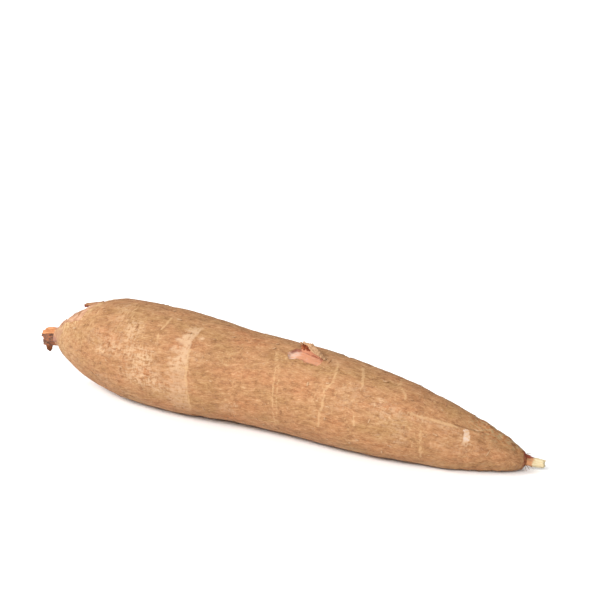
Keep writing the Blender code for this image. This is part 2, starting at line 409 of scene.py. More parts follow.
def pale_places(distance, angle, grain):
    """How rubbed and pale the bark is, from 0 to 1."""
    total = np.zeros(distance.shape)
    for *spot, strength in SPOTS:
        total = total + strength * soft_step(reach_from(distance, angle, *spot), 1.5, 0.2)
    total = total + 0.35 * soft_step(noise_at(grain, (20, 12, 12), 23.0), 0.15, 0.5)
    return np.clip(total, 0, 1.2)


def pale_band(distance, angle, grain):
    """The broad pale band across the root: sharp towards the tip and ragged towards the stub."""
    degrees = np.degrees(angle)
    left = np.interp(degrees, *np.array(BAND_LEFT).T)
    right = np.interp(degrees, *np.array(BAND_RIGHT).T)
    ragged = noise_at(grain, (5, 2.2, 2.2), 27.0) * 6
    shown = soft_step(degrees, -140, -122) * soft_step(degrees, -12, -22)
    shown = shown * (1 - 0.45 * soft_step(degrees, -62, -84))
    started = soft_step(distance + ragged, left - 2.5, left + 3.5)
    return shown * started * soft_step(distance, right + 0.5, right - 0.2)


def skin_base(distance, angle):
    """Points of the solid's skin in millimetres, without its peeled places."""
    return spine(distance) + directions(distance, angle)[1] * main_radius(distance, angle)[..., None]


def skin(distance, angle, relief):
    """Points of the skin in metres, with a relief in millimetres over the solid's form."""
    _, out, _ = directions(distance, angle)
    points = spine(distance) + out * (main_radius(distance, angle) + relief)[..., None]
    height = points[..., 2]
    flattened = CLEARANCE + (TOUCH - CLEARANCE) * np.exp(height / TOUCH - 1)
    points[..., 2] = np.where(height < TOUCH, flattened, height)
    return points * MM


def srgb(*screen):
    """A colour in the renderer's linear units from its screen values of 0 to 255."""
    shares = [value / 255 for value in screen]
    return (*(s / 12.92 if s <= 0.04045 else ((s + 0.055) / 1.055) ** 2.4 for s in shares), 1.0)


def seen(*screen):
    """A surface colour that looks like the given screen values in this scene's bright light."""
    return (*(part / BRIGHTNESS for part in srgb(*screen)[:3]), 1.0)


class Value:
    """A number, vector or colour of a material's nodes, whose arithmetic adds nodes."""

    def __init__(self, nodes, socket):
        self.nodes, self.socket = nodes, socket

    def __add__(self, other):
        return self.nodes.math("ADD", self, other)

    def __sub__(self, other):
        return self.nodes.math("SUBTRACT", self, other)

    def __rsub__(self, other):
        return self.nodes.math("SUBTRACT", other, self)

    def __mul__(self, other):
        return self.nodes.math("MULTIPLY", self, other)

    def step(self, low, high):
        """A smooth step from 0 at low to 1 at high."""
        ends = {"Value": self, "From Min": low, "From Max": high}
        return self.nodes.add("MapRange", "Result", ends, interpolation_type="SMOOTHSTEP")


class Nodes:
    """A material and short ways to build its nodes."""

    def __init__(self, name):
        self.material = bpy.data.materials.new(name)
        self.material.use_nodes = True
        self.tree = self.material.node_tree
        self.shader = self.tree.nodes["Principled BSDF"]

    def node(self, kind, inputs, **settings):
        node = self.tree.nodes.new("ShaderNode" + kind)
        for key, value in settings.items():
            setattr(node, key, value)
        for key, value in inputs.items():
            self.put(node.inputs[key], value)
        return node

    def add(self, kind, output, inputs, **settings):
        """A new node's output."""
        return Value(self, self.node(kind, inputs, **settings).outputs[output])

    def put(self, socket, value):
        """Link a socket to another's output, or set its value."""
        if isinstance(value, Value):
            self.tree.links.new(value.socket, socket)
        else:
            socket.default_value = value

    def attributes(self, *names):
        """The mesh's own values: grain is a place, the others are numbers."""
        return [
            self.add("Attribute", "Vector" if name == "grain" else "Fac", {}, attribute_name=name)
            for name in names
        ]

    def math(self, operation, first, second):
        return self.add("Math", 0, {0: first, 1: second}, operation=operation)

    def vector(self, operation, first, second=(0.0, 0.0, 0.0)):
        return self.add("VectorMath", 0, {0: first, 1: second}, operation=operation)

    def mix(self, share, first, second, blend="MIX"):
        return self.add("Mix", 2, {0: share, 6: first, 7: second}, data_type="RGBA", blend_type=blend)

    def layers(self, colour, *layers):
        """A colour with others laid over it in turn: each layer's share, and its screen values or a colour."""
        for share, *shade in layers:
            colour = self.mix(share, colour, seen(*shade) if len(shade) == 3 else shade[0])
        return colour

    def cells_of(self, vector, lumps, shift):
        """A place counted in cells of the given size in millimetres along, up and across."""
        inputs = {"Vector": vector, "Scale": tuple(1 / size for size in lumps), "Location": (shift,) * 3}
        return self.add("Mapping", 0, inputs)

    def noise(self, vector, lumps, detail=2.0, shift=0.0, rough=0.5, distortion=0.0):
        """Noise whose lumps have the given size."""
        inputs = {
            "Vector": self.cells_of(vector, lumps, shift), "Scale": 1.0, "Detail": detail, "Roughness": rough,
            "Distortion": distortion,
        }
        return self.add("TexNoise", "Fac", inputs)

    def edges(self, vector, lumps, shift):
        """How far from the nearest edge between cells of the given size, as a share of the cell."""
        inputs = {"Vector": self.cells_of(vector, lumps, shift), "Scale": 1.0}
        return self.add("TexVoronoi", "Distance", inputs, feature="DISTANCE_TO_EDGE")

    def bent(self, grain, lumps, push):
        """The grain pushed sideways a little, so that it doesn't run ruler-straight."""
        place = self.vector("MULTIPLY", grain, (1 / lumps,) * 3)
        bend = self.add("TexNoise", "Color", {"Vector": place, "Scale": 1.0, "Detail": 2.0})
        centred = self.vector("SUBTRACT", bend, (0.5, 0.5, 0.5))
        return self.vector("ADD", grain, self.vector("MULTIPLY", centred, (push,) * 3))

    def rays(self, grain, radius):
        """The grain with its lines drawn together towards the root's two ends."""
        x, y, z = (self.add("SeparateXYZ", axis, {"Vector": grain}) for axis in range(3))
        turn = self.vector("NORMALIZE", self.add("CombineXYZ", 0, {"Y": y, "Z": z}))
        along = self.add("CombineXYZ", 0, {"X": x})
        return self.vector("ADD", self.vector("MULTIPLY", turn, (radius,) * 3), along)

    def ramp(self, value, stops, shade=seen):
        """A colour that runs through stops, each a place and screen values."""
        node = self.node("ValToRGB", {"Fac": value})
        elements = node.color_ramp.elements
        elements[0].position, elements[1].position = stops[0][0], stops[-1][0]
        elements[0].color, elements[1].color = shade(*stops[0][1:]), shade(*stops[-1][1:])
        for place, *screen in stops[1:-1]:
            elements.new(place).color = shade(*screen)
        return Value(self, node.outputs["Color"])

    def finish(self, colour, roughness, height, strength, depth, specular=0.3):
        """Wire colour, roughness, gloss and bump into the shader."""
        bump = self.add("Bump", 0, {"Height": height, "Strength": strength, "Distance": depth * MM})
        for key, value in (
            ("Base Color", colour), ("Roughness", roughness), ("Specular IOR Level", specular), ("Normal", bump),
        ):
            self.put(self.shader.inputs[key], value)
        return self.material


def bark_material():
    """Papery tan bark with fibres, cracks, pale rubbed places, rings, and bare pink and brown under it."""
    nodes = Nodes("cassava_bark")
    grain, line, scar, split, band, pale, peel, rim = nodes.attributes(
        "grain", "line", "scar", "split", "band", "pale", "peel", "rim",
    )
    torn, hollow, tip, collar, weather, neck, nape = nodes.attributes(
        "torn", "hollow", "tip", "collar", "weather", "neck", "nape",
    )
    bent = nodes.bent(grain, 9.0, 2.6)
    coarse = nodes.noise(bent, (6.0, 2.6, 2.6), 4.0, 4.0, 0.58)
    fine = nodes.noise(bent, (2.6, 0.95, 0.95), 3.0, 11.0, 0.6)
    speck = nodes.noise(grain, (1.5, 1.5, 1.5), 2.0, 15.0, 0.6)
    fibre = nodes.noise(bent, (4.0, 0.42, 0.42), 3.0, 91.0, 0.65)
    mottle = nodes.noise(bent, (3.2, 1.6, 1.6), 4.0, 21.0, 0.62)
    cross = nodes.noise(bent, (1.2, 4.5, 4.5), 3.0, 25.0, 0.6)
    patchy = mottle * 0.6 + cross * 0.4
    mottled = mottle.step(0.4, 0.6)

    # Streaked tan with a slow tint
    colour = nodes.ramp(coarse * 0.5 + fine * 0.34 + speck * 0.16, (
        (0.34, 166, 112, 70), (0.44, 197, 142, 95), (0.5, 208, 152, 104), (0.57, 218, 163, 115),
        (0.66, 240, 193, 146),
    ))
    tint = nodes.ramp(nodes.noise(grain, (24, 13, 13), 3.0, 2.0, 0.6), (
        (0.34, 244, 248, 235), (0.48, 251, 250, 245), (0.6, 255, 247, 241), (0.7, 255, 238, 229),
    ), srgb)
    colour = nodes.mix(1.0, colour, tint, "MULTIPLY")

    # Fibres, cracks, pale rubbed places and drawn lines
    rough = 1.0 - neck * 0.55
    whole = 1.0 - band * 0.8
    crack = nodes.edges(nodes.bent(grain, 2.2, 1.1), (5.5, 1.25, 1.25), 3.0)
    crack = crack.step(0.09, 0.02) * coarse.step(0.56, 0.44) * whole * rough
    strokes = cross.step(0.58, 0.72) * nodes.noise(grain, (16, 16, 16), 2.0, 28.0).step(0.46, 0.62)
    rubbed = pale * patchy.step(0.42, 0.6)
    ragged = (nodes.noise(grain, (1.5, 2.4, 2.4), 3.0, 31.0, 0.6) - 0.52) * 2.0
    scar_tone = nodes.mix(mottle.step(0.4, 0.62), seen(246, 200, 158), seen(255, 228, 206))
    fleck = nodes.noise(bent, (1.8, 0.8, 0.8), 3.0, 41.0, 0.65, 0.6).step(0.64, 0.71)
    pit = nodes.noise(bent, (1.8, 0.9, 0.9), 3.0, 51.0, 0.65, 0.6).step(0.33, 0.27) * rough
    colour = nodes.layers(
        colour,
        (fibre.step(0.49, 0.36) * 0.42, 156, 102, 62),
        (fibre.step(0.53, 0.66) * 0.36, 242, 196, 150),
        (crack * 0.36, 128, 80, 48),
        (strokes * 0.45, 236, 190, 138),
        (rubbed * 0.85, 250, 208, 164),
        (band * patchy.step(0.36, 0.56) * 0.85, 246, 204, 162),
        ((line + ragged).step(-0.05, 0.6) * 0.6, 242, 195, 142),
        ((scar + ragged * 0.5).step(-0.1, 0.25), scar_tone),
        ((split + ragged).step(0.0, 0.5) * 0.6, 134, 84, 52),
        (fleck * 0.6, 248, 204, 164),
        (pit * 0.5, 118, 72, 42),
    )
    colour = nodes.mix(tip * 0.15, colour, srgb(222, 214, 204), "MULTIPLY")

    # The weathered tip, its collar, and the smooth neck and nape at the stub
    lichen = nodes.ramp(nodes.noise(bent, (2.6, 1.6, 1.6), 3.0, 61.0, 0.62), (
        (0.36, 132, 80, 44), (0.45, 210, 138, 80), (0.51, 216, 162, 114), (0.56, 184, 168, 122),
        (0.64, 240, 190, 138),
    ))
    collar = (collar + (mottle - 0.5) * 1.6).step(0.35, 0.75)
    nape = (nape + mottle * 1.6).step(0.7, 1.8) * (fibre.step(0.56, 0.44) * 0.5 + 0.3)
    colour = nodes.layers(
        colour,
        (weather * 0.7, lichen),
        (collar * 0.92, nodes.mix(mottled, seen(146, 68, 36), seen(212, 134, 76))),
        (neck * patchy.step(0.4, 0.62) * 0.6, 246, 202, 150),
        (nape, 208, 154, 124),
    )

    # The torn shoulder and the peeled patch
    sinew = nodes.noise(nodes.bent(nodes.rays(grain, 20.0), 7.0, 1.6), (4.0, 1.5, 1.5), 4.0, 65.0, 0.6)
    torn_skin = nodes.ramp(sinew, (
        (0.34, 190, 134, 98), (0.44, 216, 162, 124), (0.54, 234, 178, 142), (0.66, 246, 202, 162),
    ))
    wood = nodes.mix(sinew.step(0.38, 0.6), seen(188, 132, 96), seen(226, 170, 130))
    brink = torn.step(-0.3, 0.1) * torn.step(1.3, 0.3) * mottled
    rind = nodes.ramp(nodes.noise(grain, (5.0, 4.0, 4.0), 2.0, 71.0), (
        (0.32, 238, 184, 152), (0.44, 246, 178, 136), (0.58, 253, 180, 140), (0.7, 255, 198, 168),
    ))
    bleached = nodes.add("SeparateXYZ", "X", {"Vector": grain}).step(190, 186) * mottle.step(0.34, 0.5)
    rind = nodes.layers(
        rind,
        (nodes.noise(bent, (7, 0.8, 0.8), 2.0, 81.0).step(0.5, 0.34) * 0.35, 216, 142, 102),
        (bleached * 0.8, 248, 212, 190),
    )
    colour = nodes.layers(
        colour,
        (torn.step(-5.0, -1.0) * patchy.step(0.42, 0.56) * 0.6, 246, 206, 150),
        (torn.step(-0.1, 0.15), torn_skin),
        (hollow.step(-1.2, 0.8) * 0.6, wood),
        (brink * 0.6, 176, 108, 74),
        (peel.step(-0.1, 0.12), rind),
        (rim * 0.9, 150, 68, 42),
    )

    roughness = nodes.add("MapRange", "Result", {"Value": fine, "To Min": 0.66, "To Max": 0.88})
    height = coarse * 0.8 + fine * 0.5 + mottle * 0.3 + fibre * 0.22 + crack * -0.16 + pit * -0.15
    height = height * (1.0 - nodes.math("MAXIMUM", peel, torn).step(-0.1, 0.4) * 0.6)
    return nodes.finish(colour, roughness, height, 0.5, 0.5, 0.25)


def sliver_material():
    """The bark's torn edges and loose slivers: tan outside and reddish brown inside, darkened by painted shade
    under a flap's curled lip, with painted light along the lit lip.
    """
    nodes = Nodes("cassava_slivers")
    grain, tint, lip, inner = nodes.attributes("grain", "tint", "lip", "inner")
    fine = nodes.noise(grain, (3, 0.6, 0.6), 3.0, 3.0, 0.6)
    blotch = nodes.noise(grain, (3, 1.6, 1.6), 2.0, 13.0)
    outer = nodes.ramp(tint, (
        (0.0, 158, 70, 46), (0.3, 190, 132, 88), (0.6, 210, 156, 110), (1.0, 238, 194, 150),
    ))
    outer = nodes.mix(fine.step(0.52, 0.3) * 0.7, outer, seen(160, 108, 70))
    # Reddish brown inner bark, darkened as painted shade under the curled lip; the tan band at the lip is painted
    # light on its lit rim
    inside = nodes.layers(
        nodes.mix(fine.step(0.4, 0.62), seen(120, 40, 12), seen(182, 92, 36)),
        (blotch.step(0.52, 0.66) * 0.6, 222, 140, 92),
        (lip.step(0.0, 1.0), nodes.mix(fine.step(0.38, 0.62), seen(206, 140, 98), seen(240, 182, 136))),
        (lip.step(-0.2, -0.8), 246, 172, 134),
    )
    colour = nodes.mix(inner.step(0.3, 0.7), outer, inside)
    return nodes.finish(colour, 0.8, fine, 0.5, 0.2)


def stub_material():
    """Broken woody stub: tan wood on its upper side, partly painted light, and brown bark with rusty spots below,
    partly painted shade.
    """
    nodes = Nodes("cassava_stub")
    grain, top, root = nodes.attributes("grain", "top", "root")
    fibre = nodes.noise(grain, (6, 0.8, 0.8), 3.0, 2.0, 0.6)
    blotch = nodes.noise(grain, (2.6, 1.8, 1.8), 3.0, 5.0, 0.6)
    wood = nodes.mix(fibre.step(0.38, 0.62), seen(216, 136, 84), seen(252, 176, 120))
    brown = nodes.ramp(blotch, (
        (0.36, 104, 68, 54), (0.5, 152, 104, 80), (0.57, 172, 108, 74), (0.66, 214, 118, 62),
    ))
    edge = top + (blotch - 0.5) * 0.5
    grey = nodes.mix(blotch.step(0.42, 0.58), seen(200, 146, 124), seen(222, 160, 130))
    colour = nodes.layers(
        brown,
        (fibre.step(0.5, 0.32) * 0.7, 96, 50, 30),
        # Tan wood on the upper side is partly painted light; the brown bark left below it is partly painted shade
        (edge.step(0.42, 0.58), wood),
        (root.step(0.2, 0.8) * 0.85, grey),
    )
    return nodes.finish(colour, 0.8, fibre + blotch * 0.5, 0.8, 0.5)


def core_material():
    """The snapped core: cream wood with darker fibres, browner where it leaves the bark."""
    nodes = Nodes("cassava_core")
    grain, root = nodes.attributes("grain", "root")
    fibre = nodes.noise(grain, (5, 0.5, 0.5), 3.0, 2.0, 0.6)
    cream = nodes.mix(fibre.step(0.54, 0.34) * 0.7, seen(255, 238, 194), seen(236, 196, 134))
    start = root + (nodes.noise(grain, (2.0, 1.6, 1.6), 2.0, 6.0) - 0.5) * 0.6
    colour = nodes.mix(start.step(0.06, 0.4), cream, seen(232, 164, 112))
    return nodes.finish(colour, 0.75, fibre, 0.6, 0.25)


def strand_material():
    """Dark dry fibres and thin root hairs."""
    nodes = Nodes("cassava_strands")
    tint, along = nodes.attributes("tint", "along")
    colour = nodes.ramp(tint, (
        (0.0, 58, 24, 8), (0.2, 150, 84, 36), (0.4, 180, 104, 56), (1.0, 176, 164, 136),
    ))
    dark = along * tint.step(0.5, 0.3)
    colour = nodes.mix(dark * 0.6, colour, seen(92, 40, 6))
    return nodes.finish(colour, 0.8, tint, 0.1, 0.1)


def in_scene(name, data):
    """A new object of the scene that shows the given data."""
    thing = bpy.data.objects.new(name, data)
    bpy.context.scene.collection.objects.link(thing)
    return thing


def make_mesh(name, points, faces, attributes, material, uv=None):
    """A smooth-shaded piece from points in metres, with its attributes."""
    mesh = bpy.data.meshes.new(name)
    mesh.from_pydata(points.tolist(), [], faces)
    for key, values in attributes.items():
        kind, field = ("FLOAT_VECTOR", "vector") if np.ndim(values) == 2 else ("FLOAT", "value")
        layer = mesh.attributes.new(key, kind, "POINT")
        layer.data.foreach_set(field, np.ravel(values).astype(np.float32))
    if uv is not None:
        mesh.uv_layers.new(name="OFBake").data.foreach_set("uv", np.ravel(uv).astype(np.float32))
    mesh.materials.append(material)
    mesh.shade_smooth()
    piece = in_scene(name, mesh)
    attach(piece, BODY)
    return piece


def loft(rings, around):
    """Faces of a closed loft with a fan at each end, and a map that lays it flat with its seam underneath.

    Its points are the rings' and then the two poles.
    """
    corners = [
        ((ring, step), (ring + 1, step), (ring + 1, step + 1), (ring, step + 1))
        for ring in range(rings - 1) for step in range(around)
    ]
    for step in range(around):
        corners.append(((-1, step + 0.5), (0, step), (0, step + 1)))
        corners.append(((rings, step + 0.5), (rings - 1, step + 1), (rings - 1, step)))
    poles = {-1: rings * around, rings: rings * around + 1}
    faces = [tuple(poles.get(ring, ring * around + step % around) for ring, step in face) for face in corners]
    places = np.array([corner for face in corners for corner in face])
    return faces, 0.01 + 0.98 * (places + (1, 0)) / (rings + 1, around)


def with_poles(grid, poles=None):
    """A loft's values in one list, with its poles' at the end: the mean of each end's ring unless given."""
    poles = [grid[0].mean(0), grid[-1].mean(0)] if poles is None else poles
    return np.concatenate([grid.reshape(-1, *grid.shape[2:]), poles])


def tuber_distances():
    """Where the tuber's rings lie: closer at its ends and across the peeled patch."""
    places = [TUBER_START]
    while places[-1] < TUBER_END:
        here = places[-1]
        places.append(here + (0.5 if here < 20 or here > 318 else 0.45 if 180 < here < 210 else 0.95))
    places[-1] = TUBER_END
    return np.array(places)


def bark_relief(distance, grain):
    """Lumps, wrinkles and the layered edges of papery bark, in millimetres."""
    relief = 0.3 * noise_at(grain, (15, 9, 9), 1.0)
    relief += 0.16 * noise_at(grain, (16, 2.6, 2.6), 5.0)
    relief += 0.12 * noise_at(grain, (2.6, 8, 8), 6.0) * soft_step(noise_at(grain, (18, 18, 18), 7.0), -0.1, 0.3)
    relief += 0.1 * noise_at(grain, (6, 1.5, 1.5), 9.0)
    layers = noise_at(grain, (14, 7, 7), 13.0) * 4
    relief += 0.12 * soft_step(layers - np.floor(layers), 0.0, 0.1)
    relief += 0.7 * soft_step(distance, 288, 306) * noise_at(grain, (3.4, 2.4, 2.4), 10.0)
    return relief


def hump(value, middle, width):
    """1 at the middle, falling smoothly to almost 0 at twice the width from it."""
    return np.exp(-((value - middle) / width) ** 2)


def bark_surface(distance, angle):
    """The bark's relief over the solid's form, in millimetres, and what its material needs to know."""
    grain, degrees = grain_of(distance, angle), np.degrees(angle)
    lines = np.maximum(drawn_lines(distance, angle, LINES), ring_lines(distance, angle))
    scars, cracks = drawn_lines(distance, angle, SCARS), drawn_lines(distance, angle, CRACKS)
    band = pale_band(distance, angle, grain)
    near_end = soft_step(distance, TUBER_START, 24) * soft_step(distance, TUBER_END, 312)
    relief = bark_relief(distance, grain) * (0.25 + 0.75 * near_end)
    relief += 0.2 * np.clip(lines, 0, 1) + 0.16 * band - 0.3 * np.clip(cracks, 0, 1)
    hollow, torn, peel = (inside(distance, angle) for inside in (inside_shoulder, inside_torn, inside_patch))
    depth = TORN_SHOULDER[4] * soft_step(hollow, -0.2, 3.0) + PATCH_DEPTH * soft_step(peel, -0.3, 1.6)
    depth = depth + 0.3 * soft_step(torn, -0.2, 0.3) * (1 - soft_step(hollow, -0.2, 2.0))
    bare = np.maximum(torn, peel)
    relief = relief * (1 - 0.7 * soft_step(bare, -0.1, 0.5)) - depth
    relief += 0.2 * hump(bare, -0.5, 0.5)
    place, centre, half_length, half_turn, height = KNOB
    relief += height * hump(distance, place, half_length) * hump(np.degrees(angle_gap(angle, centre)), 0, half_turn)
    looks = {
        "line": lines,
        "scar": scars,
        "split": cracks,
        "band": band,
        "pale": pale_places(distance, angle, grain),
        "peel": np.clip(peel, -5, 5),
        "rim": hump(peel, 0.4, 0.7) * soft_step(degrees, -17, -11),
        "torn": np.clip(torn, -5, 5),
        "hollow": np.clip(hollow, -5, 5),
        "tip": soft_step(distance, 285, 322),
        "collar": soft_step(distance, 324.0, 326.6) * soft_step(np.cos(angle), -0.9, -0.4),
        "weather": soft_step(distance, 284, 304) * soft_step(np.cos(angle - 0.2), 0.45, 0.92),
        "neck": soft_step(distance, 52, 22),
        "nape": soft_step(distance - 9 * hump(degrees, -54, 24), 17.5, 12.0),
    }
    return relief, grain, looks


def make_tuber(material):
    """The tuber's skin as one closed fine mesh."""
    places = tuber_distances()
    turn = math.pi + np.arange(AROUND) / AROUND * 2 * math.pi
    distance, angle = np.meshgrid(places, turn, indexing="ij")
    angle = angle_gap(angle)
    relief, grain, looks = bark_surface(distance, angle)
    ends = np.array([TUBER_START, TUBER_END])
    points = with_poles(skin(distance, angle, relief), spine(ends) * MM)
    attributes = {"grain": with_poles(grain, grain_of(ends, np.zeros(2), 0.0))}
    attributes.update({key: with_poles(values) for key, values in looks.items()})
    faces, uv = loft(len(places), AROUND)
    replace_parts(make_mesh("tuber_bark", points, faces, attributes, material, uv), NODE)


def sheet_part(middle, normal, thickness, attributes):
    """A thin closed sheet as points, faces and attributes: outer side 0 and inner side 1."""
    rows, columns = middle.shape[:2]
    size = rows * columns
    half = normal * thickness[..., None] / 2
    points = np.vstack([(middle + half).reshape(-1, 3), (middle - half).reshape(-1, 3)])
    index = np.arange(size).reshape(rows, columns)
    a, b, c, d = index[:-1, :-1], index[1:, :-1], index[1:, 1:], index[:-1, 1:]
    faces = np.stack([a, b, c, d], -1).reshape(-1, 4).tolist()
    faces += (np.stack([a, d, c, b], -1) + size).reshape(-1, 4).tolist()
    rim = [*index[:, 0], *index[-1, 1:], *index[-2::-1, -1], *index[0, -2:0:-1]]
    faces += [(b, a, a + size, b + size) for a, b in zip(rim, rim[1:] + rim[:1])]
    both = {}
    for key, values in attributes.items():
        flat = np.broadcast_to(values, (rows, columns, *np.shape(values)[2:])).reshape(size, -1)
        both[key] = np.vstack([flat, flat])
    both["inner"] = np.repeat([0.0, 1.0], size)[:, None]
    return points, faces, both


def tube_part(line, radii, sides, tint):
    """A closed tube along a line, as points, faces and attributes."""
    ahead = unit(np.gradient(line, axis=0))
    up = unit(np.cross(ahead, np.array([0.31, 0.87, 0.39])))
    side = np.cross(ahead, up)
    turn = (np.arange(sides) / sides * 2 * math.pi)[None, :, None]
    rings = line[:, None] + radii[:, None, None] * (up[:, None] * np.cos(turn) + side[:, None] * np.sin(turn))
    points = with_poles(rings, line[[0, -1]])
    faces = [face[::-1] for face in loft(len(line), sides)[0]]
    along = np.concatenate([np.repeat(np.linspace(0, 1, len(line)), sides), [0, 1]])
    return points, faces, {"tint": np.full((len(points), 1), tint), "along": along[:, None]}


def make_joined(name, parts, material):
    """One piece of several parts."""
    faces, shift = [], 0
    for points, part_faces, _ in parts:
        faces += [tuple(int(index) + shift for index in face) for face in part_faces]
        shift += len(points)
    attributes = {}
    for key in parts[0][2]:
        values = np.vstack([part[2][key] for part in parts])
        attributes[key] = values if values.shape[1] == 3 else values[:, 0]
    make_mesh(name, np.vstack([part[0] for part in parts]), faces, attributes, material)


def flap_shape(flap, along, up, curl, droop, ragged):
    """Points of a standing flap in millimetres, as in the solid, its top curled and drooping.

    The curl and the droop are amounts for its two ends.
    """
    first, last, first_angle, last_angle, height, lean, tallest = flap
    distance = first + (last - first) * along
    angle = np.radians(first_angle + (last_angle - first_angle) * along)
    out = directions(distance, angle)[1]
    ends = [skin_base(np.array(d, float), np.radians(a)) for d, a in ((first, first_angle), (last, last_angle))]
    foot = unit(ends[1] - ends[0])
    sideways = np.cross(np.broadcast_to(foot, out.shape), out)
    rise = np.where(
        along < tallest,
        np.sin(0.5 * math.pi * (FLAP_LOW_END + (1 - FLAP_LOW_END) * along / tallest)),
        np.cos(0.5 * math.pi * np.clip((along - tallest) / (1 - tallest), 0, 1)),
    )
    rise = np.clip(rise + ragged, 0.03, 1.1)
    standing = np.clip(up / FLAP_BEND, 0, 1)
    turned = np.clip((up - FLAP_BEND) / (1 - FLAP_BEND), 0, 1)
    curled, drooping = (pair[0] + (pair[1] - pair[0]) * soft_step(along, 0.3, 0.7) for pair in (curl, droop))
    reach = (height * rise + FLAP_SUNK) * standing - FLAP_SUNK
    reach = reach - drooping * rise * turned ** 2
    tilt = lean * rise * standing ** 2 + curled * (0.3 + 0.7 * rise) * turned
    return skin_base(distance, angle) + out * reach[..., None] + sideways * tilt[..., None]


def make_flap(name, flap, curl, droop, thickness, flip, tints, material):
    """A torn flap of bark that stands on the root, with a tint at its foot and one at its torn edge."""
    along, up = np.meshgrid(np.linspace(0, 1, 60), np.linspace(0, 1, 24), indexing="ij")
    line = np.stack([along * 30, along * 0, along * 0], -1)
    edge = noise_at(line, (2.2, 1, 1), 33.0)
    points = flap_shape(flap, along, up, curl, droop, 0.2 * edge + 0.1 * noise_at(line, (0.8, 1, 1), 35.0))
    normal = flip * unit(np.cross(np.gradient(points, axis=0), np.gradient(points, axis=1)))
    grain = np.stack([along * 24, up * 7, along * 0], -1)
    bumps = noise_at(grain, (3, 2, 2), 37.0) * 0.35 + noise_at(grain, (1.2, 0.5, 1), 38.0) * 0.12
    points = points + normal * (bumps * up)[..., None]
    thick = thickness * (0.2 + 0.8 * np.sqrt(1 - up ** 2 * 0.95)) * (0.5 + 0.5 * soft_step(along, 0, 0.1))
    tint = tints[0] + (tints[1] - tints[0]) * soft_step(up, 0.5, 0.8)
    # Bands across the flap for its colours: the lip near the top, which gets painted light, and the foot
    folded = 0.94 - 0.24 * soft_step(along, 0.35, 0.75) + 0.12 * edge
    foot = 0.2 + 0.08 * soft_step(along, 0.15, 0.65) + 0.04 * edge
    lip = soft_step(up, folded - 0.05, folded + 0.05) - soft_step(up, foot + 0.05, foot - 0.05)
    points, faces, values = sheet_part(points * MM, normal, thick * MM, {"grain": grain, "tint": tint, "lip": lip})
    make_joined(name, [(points, [face[::flip] for face in faces], values)], material)


def make_fringe(material, rng):
    """Ragged dark tongues of bark round the foot of the snapped core."""
    parts = []
    for degrees, length, width, tint in FRINGE:
        x, y = np.meshgrid(np.linspace(0, 1, 16), np.linspace(-1, 1, 6), indexing="ij")
        edge = np.array([rng.uniform(0.75, 1.2) for _ in range(16)])[:, None]
        distance = CORE_START + (length + 1.0) * x
        outside = np.maximum(main_radius(distance, x * 0) - 0.1, 2.9) + 0.5 * np.sin(x * 3) * x
        arc = y * width * np.clip(1 - x ** 2.2, 0.12, 1) * edge
        out = directions(distance, np.radians(degrees) + arc / outside)[1]
        grain = np.stack([distance, arc, arc * 0 + degrees], -1)
        lift = 0.35 * noise_at(grain, (1.6, 1.2, 1), 61.0)
        points = spine(distance) + out * (outside + lift + 0.3 * x)[..., None]
        thick = np.full(x.shape, FRINGE_THICKNESS * MM) * (1.2 - x)
        parts.append(sheet_part(points * MM, out, thick, {"grain": grain, "tint": tint}))
    make_joined("tip_fringe", parts, material)


def make_flakes(material, rng):
    """Loose slivers of papery bark all over the root."""
    parts = []
    for _ in range(FLAKES):
        place = rng.uniform(16, 316)
        centre = rng.uniform(-math.pi, math.pi)
        if np.cos(centre) < -0.85 or inside_patch(np.array([[place]]), np.array([[centre]]))[0, 0] > -3:
            continue
        half_length = rng.uniform(0.7, 2.0) * (1.4 if rng.random() < 0.12 else 1)
        half_width = rng.uniform(0.22, 0.62)
        skew = rng.gauss(0, 0.3) + (math.pi / 2 if rng.random() < 0.12 else 0)
        lift = rng.uniform(0.1, 0.5)
        x, y = np.meshgrid(np.linspace(-1, 1, 8), np.linspace(-1, 1, 4), indexing="ij")
        ragged = 1 + 0.35 * np.array([rng.uniform(-1, 1) for _ in range(8)])[:, None]
        bow = rng.uniform(-0.5, 0.5) * half_width * (1 - x * x)
        across = y * half_width * np.clip(1 - np.abs(x) ** 3, 0.08, 1) * ragged + bow
        along = x * half_length
        distance = place + along * math.cos(skew) - across * math.sin(skew)
        arc = along * math.sin(skew) + across * math.cos(skew)
        angle = centre + arc / float(radius_at(place)) + WINDING * along
        relief, grain, _ = bark_surface(distance, angle)
        relief = relief.mean() * 0.6 + relief * 0.4
        above = relief + 0.06 + lift * ((x + 1) / 2) ** 2 + 0.25 * half_width * y ** 2 * rng.uniform(0.2, 1)
        values = {"grain": grain, "tint": rng.uniform(0.35, 1)}
        thick = np.full(x.shape, FLAKE_THICKNESS * MM)
        parts.append(sheet_part(skin(distance, angle, above), directions(distance, angle)[1], thick, values))
    make_joined("bark_flakes", parts, material)


def round_spine(distance, angle, radius):
    """Millimetres along, up and across an end, without the grain's winding."""
    return np.stack([distance, radius * np.cos(angle), radius * np.sin(angle)], -1)


def end_grid(places, around):
    """Ring numbers, distances and angles of a loft along the spine."""
    turn = np.arange(around) / around * 2 * math.pi
    rows, angle = np.meshgrid(np.arange(len(places)), turn, indexing="ij")
    return rows, places[rows], angle


